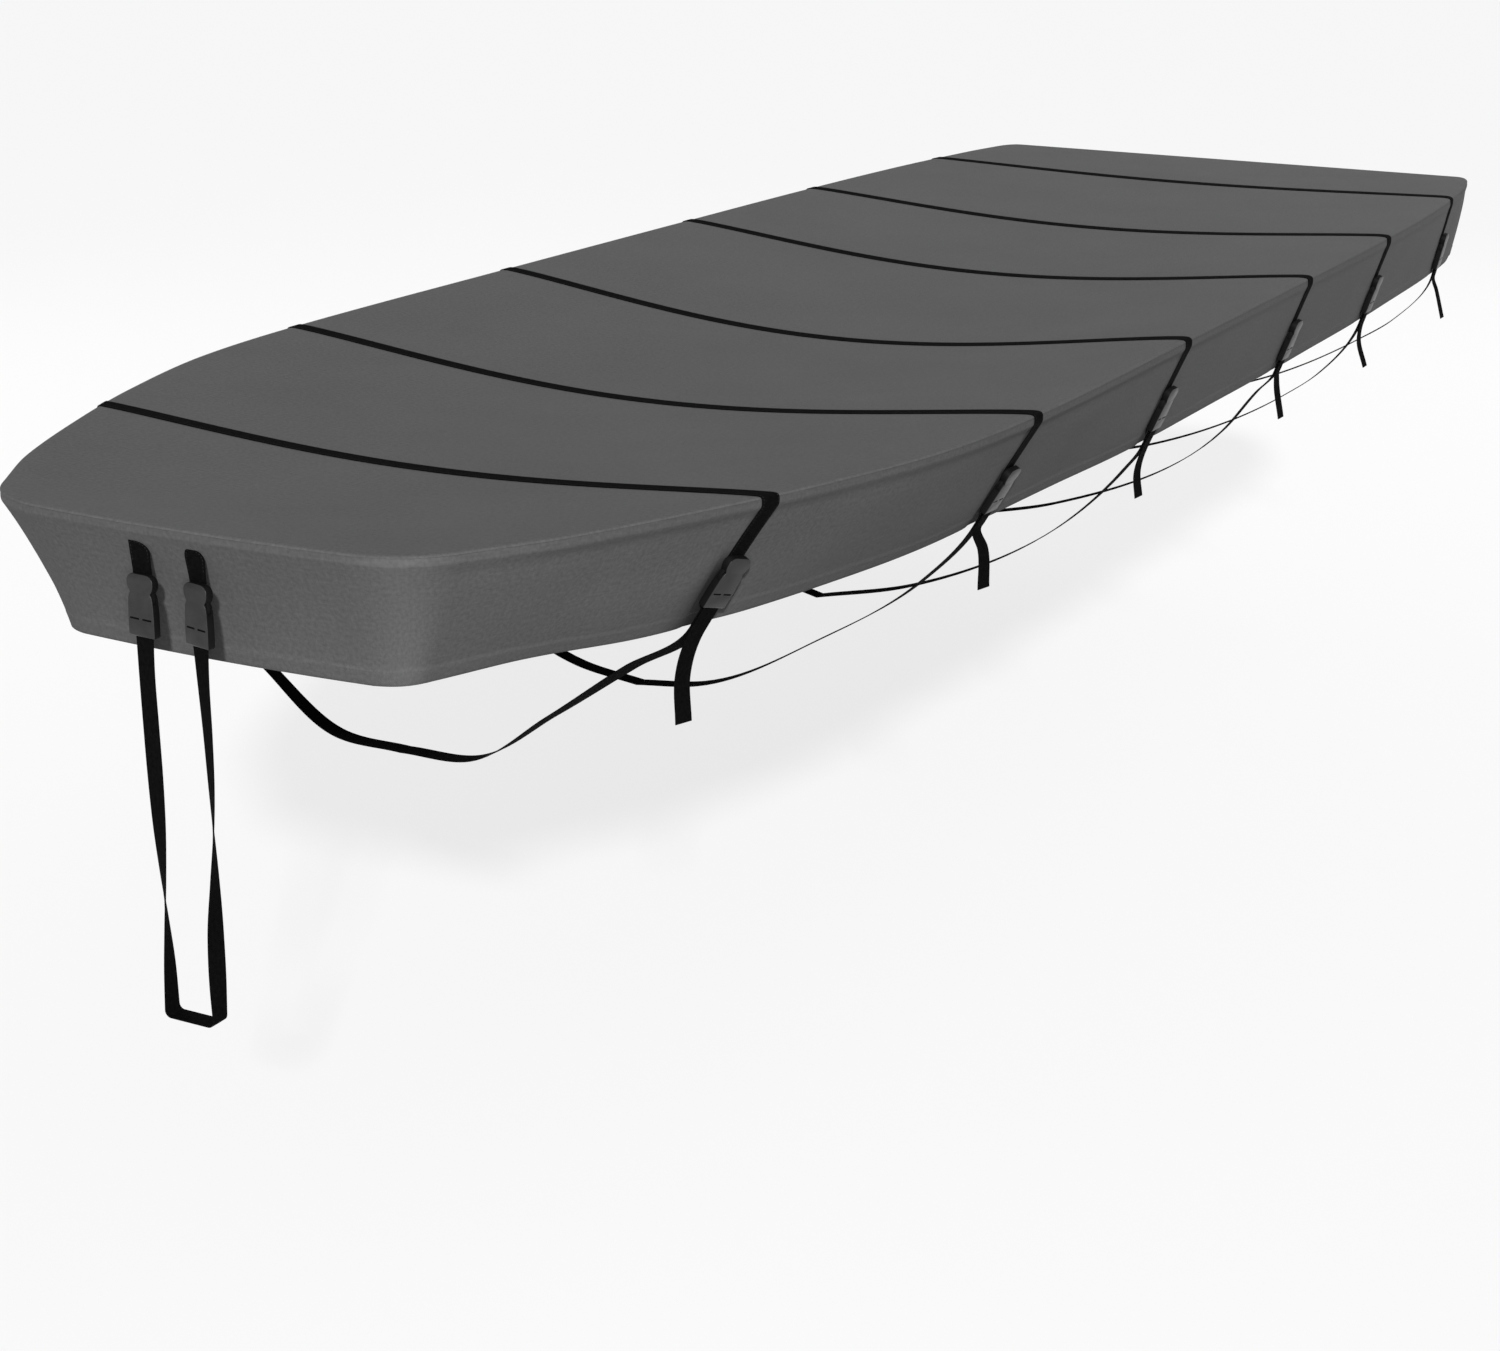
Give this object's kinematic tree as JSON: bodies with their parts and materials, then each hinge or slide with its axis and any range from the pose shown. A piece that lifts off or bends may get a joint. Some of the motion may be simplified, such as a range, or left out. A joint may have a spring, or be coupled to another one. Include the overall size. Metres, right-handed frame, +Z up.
{
  "type": "boat cover",
  "caption": "Fitted fabric cover for a blunt-bowed jon boat, with a sagging top, a skirt tucked in under the gunwales, webbing straps over and under the hull, buckles and a bow loop.",
  "frame": {"origin": "middle of the cover's length and breadth, on the underside of the top panel, where the boat carries the cloth", "axes": "+X to the boat's port side, +Y towards the stern, +Z up; the bow is at -Y"},
  "size_m": [1.3722, 4.2868, 0.6669],
  "materials": {
    "polyester": "tight plain-weave polyester, dark grey, matt",
    "webbing": "flat woven webbing, black, matt",
    "buckle_plastic": "moulded plastic, dark grey, fine satin"
  },
  "bodies": {
    "root": {"cover_top": "polyester", "cover_skirt": "polyester", "over_strap_1": "webbing", "over_strap_2": "webbing", "over_strap_3": "webbing", "over_strap_4": "webbing", "over_strap_5": "webbing", "over_strap_6": "webbing", "hull_strap_1": "webbing", "hull_strap_2": "webbing", "hull_strap_3": "webbing", "hull_strap_4": "webbing", "hull_strap_5": "webbing", "hull_strap_6": "webbing", "side_buckle_port_1": "buckle_plastic", "side_buckle_port_2": "buckle_plastic", "side_buckle_port_3": "buckle_plastic", "side_buckle_port_4": "buckle_plastic", "side_buckle_port_5": "buckle_plastic", "side_buckle_port_6": "buckle_plastic", "side_buckle_starboard_1": "buckle_plastic", "side_buckle_starboard_2": "buckle_plastic", "side_buckle_starboard_3": "buckle_plastic", "side_buckle_starboard_4": "buckle_plastic", "side_buckle_starboard_5": "buckle_plastic", "side_buckle_starboard_6": "buckle_plastic", "bow_tab_port": "webbing", "bow_tab_starboard": "webbing", "bow_buckle_port": "buckle_plastic", "bow_buckle_starboard": "buckle_plastic", "tongue_loop": "webbing"}
  },
  "joints": []
}
